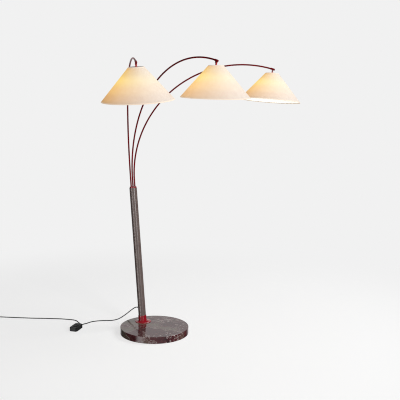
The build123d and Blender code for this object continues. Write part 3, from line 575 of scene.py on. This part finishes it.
# ---------------------------------------------------------------- materials
def marble():
    """Polished stone: burgundy and green-brown clouds, thin pale veins, dark cracks and white crystal specks,
    which gather at one place on the rim as a painted highlight.
    """
    finish = Finish("marble", (0.1, 0.08, 0.075), 0.10, IOR=1.42)
    place = finish.warped(5.0, 0.11)
    clouds = finish.noise(6.0, detail=8.0, roughness=0.68, place=place)
    body = finish.ramp(clouds, [
        (0.27, (0.060, 0.064, 0.048)), (0.39, (0.175, 0.134, 0.100)), (0.46, (0.150, 0.094, 0.074)),
        (0.53, (0.105, 0.022, 0.027)), (0.72, (0.045, 0.005, 0.010))])
    grain = finish.noise(75.0, detail=6.0, roughness=0.75, place=place)
    body = finish.blend(0.45, body, finish.ramp(grain, [(0.3, 0.15), (0.7, 0.95)]), "OVERLAY")

    def lines(scale, width, breaks):
        """Thin lines where a soft noise crosses its middle, broken here and there."""
        soft = finish.noise(scale, detail=3.0, roughness=0.55, place=place)
        away = finish.maths("ABSOLUTE", finish.maths("SUBTRACT", soft, 0.5))
        line = finish.ramp(away, [(0.0, 1.0), (width, 0.0)])
        gaps = finish.noise(breaks, detail=2.0)
        return finish.maths("MULTIPLY", line, finish.ramp(gaps, [(0.42, 0.0), (0.58, 1.0)]))

    cracks = finish.maths("MULTIPLY", lines(4.0, 0.010, 7.0), 0.85)
    body = finish.blend(cracks, body, (0.012, 0.004, 0.006))
    veins = finish.maths("MAXIMUM", lines(5.5, 0.013, 6.0), lines(12.0, 0.020, 8.0))
    body = finish.blend(finish.maths("MULTIPLY", veins, 0.75), body, (0.58, 0.49, 0.46))
    # White crystal specks all over, and thicker round one place on the rim's front: a painted highlight.
    apart = finish.vector_maths("DISTANCE", finish.place, CRYSTAL_HIGHLIGHT_PLACE)["Value"]
    near = finish.ramp(apart, [(0.03, 0.13), (0.13, 0.0)])
    flecks_and_highlight = finish.maths("ADD", finish.noise(62.0, detail=6.0, roughness=0.7), near)
    crystals_and_highlight = finish.ramp(flecks_and_highlight, [(0.68, 0.0), (0.74, 1.0)])
    finish.colour(finish.blend(finish.maths("MULTIPLY", crystals_and_highlight, 0.8), body, (0.72, 0.64, 0.62)))
    finish.rough(grain, 0.08, 0.15)
    return finish.material


def felt():
    finish = Finish("felt", (0.02, 0.02, 0.02), 0.95)
    fibres = finish.noise(900.0, detail=4.0)
    finish.colour(finish.ramp(fibres, [(0.3, 0.012), (0.7, 0.04)]))
    finish.bump(fibres, 0.0004)
    return finish.material


def leather():
    """Thin grey-brown hide, stretched round the stem: fine pores, soft clouds and a little wear."""
    finish = Finish("leather", (0.12, 0.09, 0.088), 0.40)
    clouds = finish.noise(14.0, detail=5.0, roughness=0.6)
    hide = finish.ramp(clouds, [(0.3, (0.135, 0.098, 0.090)), (0.7, (0.200, 0.152, 0.139))])
    pores = finish.cells(1150.0, "F1")
    creases = finish.cells(520.0, "DISTANCE_TO_EDGE")
    finish.colour(finish.blend(0.35, hide, finish.ramp(pores, [(0.0, 0.35), (0.5, 0.75)]), "OVERLAY"))
    finish.rough(clouds, 0.20, 0.28)
    finish.bump(finish.ramp(creases, [(0.0, 0.0), (0.12, 1.0)]), 0.00002, 0.25)
    finish.bump(pores, 0.00002, 0.2)
    return finish.material


def sprayed_paint(name, colour, dark, roughness, gloss):
    """Sprayed paint: very slight orange peel and an almost even colour. Its gloss is its refraction."""
    finish = Finish(name, colour, roughness, IOR=gloss)
    finish.colour(finish.blend(finish.noise(45.0, detail=3.0), dark, colour))
    finish.bump(finish.noise(420.0, detail=2.0), 0.00004, 0.35)
    return finish.material


def moulded(name, colour, roughness, gloss=1.45):
    """Moulded plastic or rubber with a fine spark-eroded grain. Its gloss is its refraction."""
    finish = Finish(name, colour, roughness, IOR=gloss)
    finish.colour(finish.blend(finish.noise(70.0, detail=4.0),
                               tuple(c * 0.75 for c in colour), tuple(c * 1.25 for c in colour)))
    finish.bump(finish.noise(2600.0, detail=2.0), 0.00005, 0.6)
    return finish.material


def plated(name, colour, roughness):
    """Plated metal with fine brushing along the stem's way and dull spots."""
    finish = Finish(name, colour, roughness, Metallic=1.0)
    spots = finish.noise(240.0, detail=5.0)
    finish.rough(spots, roughness * 0.7, roughness * 1.5)
    finish.bump(finish.noise(1.0, detail=2.0, place=finish.stretched((0.0002, 0.0002, 0.02))),
                0.00002, 0.4)
    return finish.material


def cord_sheath():
    finish = Finish("cord_sheath", (0.03, 0.03, 0.031), 0.45, IOR=1.45)
    scuffs = finish.noise(160.0, detail=5.0)
    finish.colour(finish.ramp(scuffs, [(0.35, 0.010), (0.75, 0.028)]))
    finish.rough(scuffs, 0.36, 0.52)
    finish.bump(finish.noise(1800.0, detail=2.0), 0.00004, 0.5)
    return finish.material


def height_down(finish):
    """0 at the shade's top edge and 1 at its rim, on a piece whose frame is the head's."""
    split = finish.add("ShaderNodeSeparateXYZ")
    finish.link(finish.place, split.inputs["Vector"])
    down = finish.maths("MULTIPLY", split.outputs["Z"], -1.0)
    above = finish.maths("SUBTRACT", down, SHADE_DROP)
    return finish.maths("DIVIDE", above, SHADE_HEIGHT)


def shade_outside(side):
    """Ivory parchment, with the bulb's light through it painted on as glow: yellow beside the bulb, then orange,
    dull at both edges.

    The painted glow is weaker on the side that the studio's lamps fall on.
    """
    finish = Finish(f"shade_outside_{side}", (0.80, 0.78, 0.76), 0.55)
    mottle = finish.noise(38.0, detail=6.0, roughness=0.65)
    # The bulb's light through the skin, painted on as glow down the shade's height.
    glow = finish.ramp(height_down(finish), [
        (0.0, (0.62, 0.33, 0.07)), (0.14, (0.70, 0.42, 0.085)), (0.36, (0.88, 0.59, 0.12)),
        (0.62, (0.76, 0.43, 0.10)), (0.86, (0.58, 0.30, 0.075)), (1.0, (0.43, 0.23, 0.06))], "EASE")
    cloudy = finish.blend(0.10, glow, finish.ramp(mottle, [(0.3, 0.3), (0.7, 0.8)]), "OVERLAY")
    # The painted glow is made weaker on the side that faces the studio's lamps.
    lit_way = head_frame(side).to_3x3().inverted() @ level_way(LIT_AZIMUTH)
    level = finish.vector_maths("MULTIPLY", finish.place, (1, 1, 0))["Vector"]
    outward = finish.vector_maths("NORMALIZE", level)["Vector"]
    facing = finish.vector_maths("DOT_PRODUCT", outward, tuple(lit_way))["Value"]
    share = finish.add("ShaderNodeMapRange")
    finish.link(facing, share.inputs["Value"])
    share.inputs["From Min"].default_value = -0.6
    share.inputs["To Min"].default_value = 1.0
    share.inputs["To Max"].default_value = GLOW_ON_LIT_SIDE
    shown = finish.blend(share.outputs["Result"], (0.0, 0.0, 0.0), cloudy)
    finish.colour(finish.ramp(mottle, [(0.25, (0.78, 0.76, 0.74)), (0.75, (0.86, 0.84, 0.82))]))
    finish.paint_glow_on_paper(shown)
    return finish.material


def shade_inside():
    """The white inner side, with the bulb's light painted on as glow: yellow at the top, brighter and whiter
    toward the rim.
    """
    finish = Finish("shade_inside", (0.85, 0.83, 0.80), 0.6)
    glow = finish.ramp(height_down(finish), [
        (0.0, (0.30, 0.22, 0.12)), (0.35, (0.38, 0.31, 0.20)), (0.70, (0.42, 0.38, 0.31)),
        (1.0, (0.74, 0.72, 0.68))])
    finish.bump(finish.noise(700.0, detail=3.0), 0.00005, 0.5)
    finish.paint_glow_on_paper(glow)
    return finish.material


def shade_tape():
    """Woven edging tape. A painted glow, paler than that of the skin that it binds, keeps its folds light where
    they would lie in shade.
    """
    finish = Finish("shade_tape", (0.70, 0.64, 0.58), 0.8)
    weave = finish.noise(1500.0, detail=2.0)
    finish.colour(finish.ramp(weave, [(0.3, (0.62, 0.57, 0.52)), (0.7, (0.78, 0.73, 0.67))]))
    finish.bump(weave, 0.00012, 0.7)
    finish.paint_glow_on_paper((0.62, 0.45, 0.31), 0.8)
    return finish.material


def opal_glass():
    finish = Finish("opal_glass", (0.95, 0.92, 0.85), 0.18)
    frost = finish.noise(300.0, detail=3.0)
    finish.glow(finish.ramp(frost, [(0.2, (1.0, 0.90, 0.70)), (0.8, (1.0, 0.94, 0.78))]), 3.0)
    return finish.material


def thread():
    finish = Finish("thread", (0.06, 0.045, 0.045), 0.7)
    twist = finish.noise(2400.0, detail=2.0)
    finish.colour(finish.ramp(twist, [(0.3, (0.035, 0.026, 0.026)), (0.7, (0.09, 0.068, 0.066))]))
    finish.bump(twist, 0.0001)
    return finish.material


RED = (0.46, 0.008, 0.022)
RED_DARK = (0.34, 0.004, 0.014)
# The drop links carry the same red enamel; this lighter copy of it for them is painted light.
PAINTED_LIT_RED = (0.66, 0.030, 0.030)
PAINTED_LIT_RED_DARK = (0.56, 0.020, 0.022)
BURGUNDY = (0.25, 0.006, 0.010)
BURGUNDY_DARK = (0.18, 0.003, 0.007)

MATERIALS = {
    "marble": marble(),
    "felt": felt(),
    "leather": leather(),
    "red_enamel": sprayed_paint("red_enamel", RED, RED_DARK, 0.12, 1.5),
    "arm_lacquer": sprayed_paint("arm_lacquer", BURGUNDY, BURGUNDY_DARK, 0.30, 1.2),
    "zinc_steel": plated("zinc_steel", (0.45, 0.45, 0.46), 0.35),
    "plated_brass": plated("plated_brass", (0.62, 0.58, 0.50), 0.25),
    "bush_plastic": moulded("bush_plastic", (0.10, 0.012, 0.018), 0.45),
    "white_plastic": moulded("white_plastic", (0.72, 0.71, 0.68), 0.45),
    "black_rubber": moulded("black_rubber", (0.012, 0.012, 0.013), 0.55, 1.3),
    "black_plastic": moulded("black_plastic", (0.008, 0.009, 0.009), 0.42, 1.28),
    "cord_sheath": cord_sheath(),
    "shade_skin": shade_inside(),
    "shade_metal": sprayed_paint("shade_metal", (0.74, 0.70, 0.63), (0.66, 0.62, 0.55), 0.45, 1.45),
    "opal_glass": opal_glass(),
}
SHADE_OUTSIDE = {side: shade_outside(side) for side in SIDES}
# The drop links' paint, in the red painted lighter as they look lit.
DROP_PAINTED_LIT_RED = sprayed_paint("drop_painted_lit_red", PAINTED_LIT_RED, PAINTED_LIT_RED_DARK, 0.25, 1.45)
SHADE_TAPE = shade_tape()
THREAD = thread()


def dress_nodes():
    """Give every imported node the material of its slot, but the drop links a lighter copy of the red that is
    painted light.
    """
    for part in frame["record"]["subparts"]:
        node = NODES[part["node"]]
        node.data.materials.clear()
        drop = part["node"].startswith("drop_link")
        node.data.materials.append(DROP_PAINTED_LIT_RED if drop else MATERIALS[part["material_slot"]])


dress_nodes()
for cord in (cord_to_switch, cord_to_plug):
    cord.data.materials.append(MATERIALS["cord_sheath"])
coil_tie.data.materials.append(MATERIALS["felt"])


# ---------------------------------------------------------------- shades
def cone_radius(share):
    return SHADE_TOP_RADIUS + share * SHADE_SPREAD


def on_cone(share, proud):
    """Point of the cone's outline, some way down it and some way out from its surface."""
    out_r = SHADE_HEIGHT / SHADE_SLANT
    out_z = SHADE_SPREAD / SHADE_SLANT
    return cone_radius(share) + proud * out_r, -SHADE_DROP - share * SHADE_HEIGHT + proud * out_z


def steps_between(first, last, steps):
    return [first + (last - first) * index / steps for index in range(steps + 1)]


def make_skin(side):
    """The skin's two faces. The tapes close it at the top and the rim."""
    bm = bmesh.new()
    shares = steps_between(0, 1, SHADE_STEPS)
    outer = [on_cone(share, -TAPE_THICK) for share in shares]
    inner = [on_cone(share, -TAPE_THICK - SKIN_THICK) for share in shares]
    lathe(bm, outer, SHADE_SEGMENTS, 0, closed=False)
    lathe(bm, list(reversed(inner)), SHADE_SEGMENTS, 1, closed=False)
    piece = mesh_piece(f"shade_skin_{side}", bm, head_frame(side), f"head_{side}",
                       [SHADE_OUTSIDE[side], MATERIALS["shade_skin"]])
    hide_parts(f"shade_cone_{side}")


def make_lap(side):
    """The skin's overlapped seam, on the side that faces the stem."""
    bm = bmesh.new()
    flat = LAP_FLAT / 2
    section = ((-0.5, -TAPE_THICK), (-flat, 0.0), (flat, 0.0), (0.5, -TAPE_THICK))
    rows = []
    for share in steps_between(LAP_START, LAP_END, SHADE_STEPS):
        row = []
        for across, proud in section:
            radius, height = on_cone(share, proud)
            turn = math.pi + across * LAP_WIDTH / radius
            row.append(bm.verts.new((radius * math.cos(turn), radius * math.sin(turn), height)))
        rows.append(row)
    for upper, lower in zip(rows, rows[1:]):
        for index in range(len(section) - 1):
            bm.faces.new((upper[index], lower[index], lower[index + 1], upper[index + 1]))
    mesh_piece(f"shade_lap_{side}", bm, head_frame(side), f"head_{side}",
               [SHADE_OUTSIDE[side]])


def make_tapes(side):
    """Edging tape folded round the skin's top and rim."""
    width = TAPE_WIDTH / SHADE_SLANT
    thick = SKIN_THICK + 2 * TAPE_THICK
    for name, first, last in (("top", 0.0, width), ("rim", 1 - width, 1.0)):
        bm = bmesh.new()
        shares = steps_between(first, last, TAPE_STEPS)
        outer = [on_cone(share, 0.0) for share in shares]
        inner = [on_cone(share, -thick) for share in reversed(shares)]
        lathe(bm, outer + inner, SHADE_SEGMENTS)
        bmesh.ops.recalc_face_normals(bm, faces=bm.faces)
        piece = mesh_piece(f"shade_tape_{name}_{side}", bm, head_frame(side), f"head_{side}",
                           [SHADE_TAPE])
        round_edges(piece, TAPE_ROUND, segments=2)


for side in SIDES:
    make_skin(side)
    make_lap(side)
    make_tapes(side)


# ---------------------------------------------------------------- leather seam
def make_stitches():
    """One thread drawn slantwise across the seam's groove, again and again up the stem."""
    sideways = STEM_AXIS.cross(STEM_FORWARD)
    out = STEM_FORWARD * math.cos(SEAM_ANGLE) + sideways * math.sin(SEAM_ANGLE)
    across = STEM_AXIS.cross(out)
    slant = across * STITCH_LENGTH / 2 + STEM_AXIS * STITCH_LENGTH / 4
    bm = bmesh.new()
    count = int((SEAM_END - SEAM_START) / STITCH_PITCH)
    for stitch in range(count):
        base = STEM_FOOT + STEM_AXIS * (SEAM_START + stitch * STITCH_PITCH) + out * LEATHER_RADIUS
        loops = []
        for share in steps_between(-1, 1, STITCH_RINGS - 1):
            rise = STITCH_RADIUS * (0.2 - 0.9 * share ** 4)
            centre = base + slant * share + out * rise
            thick = STITCH_RADIUS * (1 - 0.55 * share ** 4)
            loop = []
            for index in range(STITCH_SIDES):
                turn = 2 * math.pi * index / STITCH_SIDES
                away = out * math.cos(turn) + STEM_AXIS * math.sin(turn)
                loop.append(bm.verts.new(centre + away * thick))
            loops.append(loop)
        for here, there in zip(loops, loops[1:]):
            for index in range(STITCH_SIDES):
                after = (index + 1) % STITCH_SIDES
                bm.faces.new((here[index], here[after], there[after], there[index]))
        bm.faces.new(loops[0])
        bm.faces.new(list(reversed(loops[-1])))
    bmesh.ops.recalc_face_normals(bm, faces=bm.faces)
    mesh_piece("seam_stitches", bm, Matrix.Identity(4), "base", [THREAD])


make_stitches()


# ---------------------------------------------------------------- foot switch
def make_button_ribs():
    """Three grip ribs across the foot button."""
    bm = bmesh.new()
    for index in (-1, 0, 1):
        middle = Matrix.Translation((index * RIB_SPACING, 0, BUTTON_TOP + RIB_LIFT))
        made = bmesh.ops.create_cube(bm, size=1.0, matrix=middle @ Matrix.Diagonal((*RIB_SIZE, 1)))
        edges = {edge for vert in made["verts"] for edge in vert.link_edges}
        bmesh.ops.bevel(bm, geom=list(edges), offset=RIB_ROUND, segments=3, affect="EDGES")
    place = Matrix.Translation(SWITCH_PLACE) @ Matrix.Rotation(SWITCH_TURN, 4, "Z")
    mesh_piece("button_ribs", bm, place, "switch_button", [MATERIALS["black_plastic"]])


make_button_ribs()


# ---------------------------------------------------------------- ground, backdrop and light
CAMERA_LEVEL = Vector((CAMERA_LOOK.x, CAMERA_LOOK.y, 0)).normalized()
CAMERA_RIGHT = CAMERA_LEVEL.cross(UP)


class Studio(Nodes):
    """The node tree of the floor or the world: which rays arrive, and what each kind of them sees."""

    def __init__(self, tree):
        super().__init__(tree)
        path = self.add("ShaderNodeLightPath")
        self.glossy = path.outputs["Is Glossy Ray"]
        through = path.outputs["Is Transmission Ray"]
        self.seen = self.maths("MAXIMUM", path.outputs["Is Camera Ray"], through)

    def along(self, place, way):
        return self.vector_maths("DOT_PRODUCT", place, tuple(way))["Value"]

    def slope(self, source, start, end, low, high):
        """A soft step of the source's value: low up to start, high from end on."""
        node = self.add("ShaderNodeMapRange", interpolation_type="SMOOTHSTEP")
        self.link(source, node.inputs["Value"])
        node.inputs["From Min"].default_value = start
        node.inputs["From Max"].default_value = end
        node.inputs["To Min"].default_value = low
        node.inputs["To Max"].default_value = high
        return node.outputs["Result"]

    def glow(self, brightness):
        """A light-giving surface of a number's or a socket's brightness."""
        node = self.add("ShaderNodeEmission")
        number = isinstance(brightness, (int, float))
        self.link((brightness, brightness, brightness) if number else brightness, node.inputs["Color"])
        return node.outputs[0]

    def matt(self, brightness):
        node = self.add("ShaderNodeBsdfDiffuse")
        self.link((brightness, brightness, brightness), node.inputs["Color"])
        return node.outputs[0]

    def mix(self, share, first, second):
        node = self.add("ShaderNodeMixShader")
        self.link(share, node.inputs[0])
        self.link(first, node.inputs[1])
        self.link(second, node.inputs[2])
        return node.outputs[0]


def make_world():
    """A white backdrop behind the lamp. Gloss mirrors it there, and a half dark studio elsewhere.

    Before the lamp, gloss mirrors a white wall with a bright panel at its left end.
    """
    world = bpy.data.worlds.new("studio")
    bpy.context.scene.world = world
    world.use_nodes = True
    world.cycles.sampling_method = "NONE"
    world.node_tree.nodes.clear()
    studio = Studio(world.node_tree)
    way = studio.add("ShaderNodeTexCoord").outputs["Generated"]
    behind = studio.along(way, CAMERA_LEVEL)
    side = studio.along(way, CAMERA_RIGHT)
    left_end = studio.slope(side, PANEL_LEFT, PANEL_LEFT + WALL_EDGE, STUDIO_DARK, PANEL)
    panel = studio.slope(side, PANEL_RIGHT, PANEL_RIGHT + WALL_EDGE, PANEL, WALL)
    right_end = studio.slope(side, WALL_RIGHT, WALL_RIGHT + 2 * WALL_EDGE, 1.0, WALL_DIM)
    wall = studio.maths("MINIMUM", left_end, studio.maths("MULTIPLY", panel, right_end))
    before = studio.maths("MULTIPLY", wall, studio.slope(behind, *WALL_FADE, 1.0, 0.0))
    backdrop = studio.slope(behind, *BACKDROP_FADE, STUDIO_DARK, BACKDROP)
    mirrored = studio.maths("MAXIMUM", before, backdrop)
    around = studio.mix(studio.glossy, studio.glow(AMBIENT), studio.glow(mirrored))
    output = studio.add("ShaderNodeOutputWorld")
    studio.link(studio.mix(studio.seen, around, studio.glow(BACKDROP)), output.inputs["Surface"])


def floor_material():
    """As bright as the backdrop, with soft shadows near the lamp."""
    material = bpy.data.materials.new("floor")
    material.use_nodes = True
    material.node_tree.nodes.clear()
    studio = Studio(material.node_tree)
    close = studio.add("ShaderNodeAddShader")
    studio.link(studio.matt(FLOOR_SHADOW), close.inputs[0])
    studio.link(studio.glow(BACKDROP - FLOOR_SHADOW * FLOOR_LIGHT), close.inputs[1])
    reach = studio.vector_maths("LENGTH", studio.object_place())["Value"]
    far = studio.slope(reach, FLOOR_NEAR, FLOOR_FAR, 0.0, 1.0)
    shown = studio.mix(far, close.outputs[0], studio.glow(BACKDROP))
    output = studio.add("ShaderNodeOutputMaterial")
    studio.link(studio.mix(studio.seen, studio.matt(FLOOR_COLOUR), shown), output.inputs["Surface"])
    material.cycles.emission_sampling = "NONE"
    return material


def make_floor():
    bm = bmesh.new()
    bmesh.ops.create_circle(bm, cap_ends=True, segments=96, radius=FLOOR_RADIUS)
    mesh = bpy.data.meshes.new("floor")
    bm.to_mesh(mesh)
    bm.free()
    floor = bpy.data.objects.new("floor", mesh)
    floor.location.z = -FLOOR_DROP
    floor.visible_glossy = False  # gloss mirrors the world's backdrop in its place
    bpy.context.scene.collection.objects.link(floor)
    mesh.materials.append(floor_material())


def make_light(name, azimuth, elevation, distance, size, power, aim):
    """A soft box at an azimuth round the lamp, aimed at a height above the floor."""
    target = LIGHT_AIM + UP * aim
    rise = math.radians(elevation)
    way = level_way(azimuth) * math.cos(rise) + UP * math.sin(rise)
    light = bpy.data.lights.new(name, "AREA")
    light.shape = "RECTANGLE"
    light.size, light.size_y = size
    light.energy = power
    lamp = bpy.data.objects.new(name, light)
    lamp.location = target + way * distance
    lamp.rotation_euler = way.to_track_quat("Z", "Y").to_euler()
    lamp.visible_camera = False
    bpy.context.scene.collection.objects.link(lamp)


make_world()
make_floor()
for light_name, settings in LIGHTS.items():
    make_light(light_name, *settings)

bpy.context.scene.view_settings.view_transform = "Standard"
bpy.context.scene.cycles.filter_width = 1.1
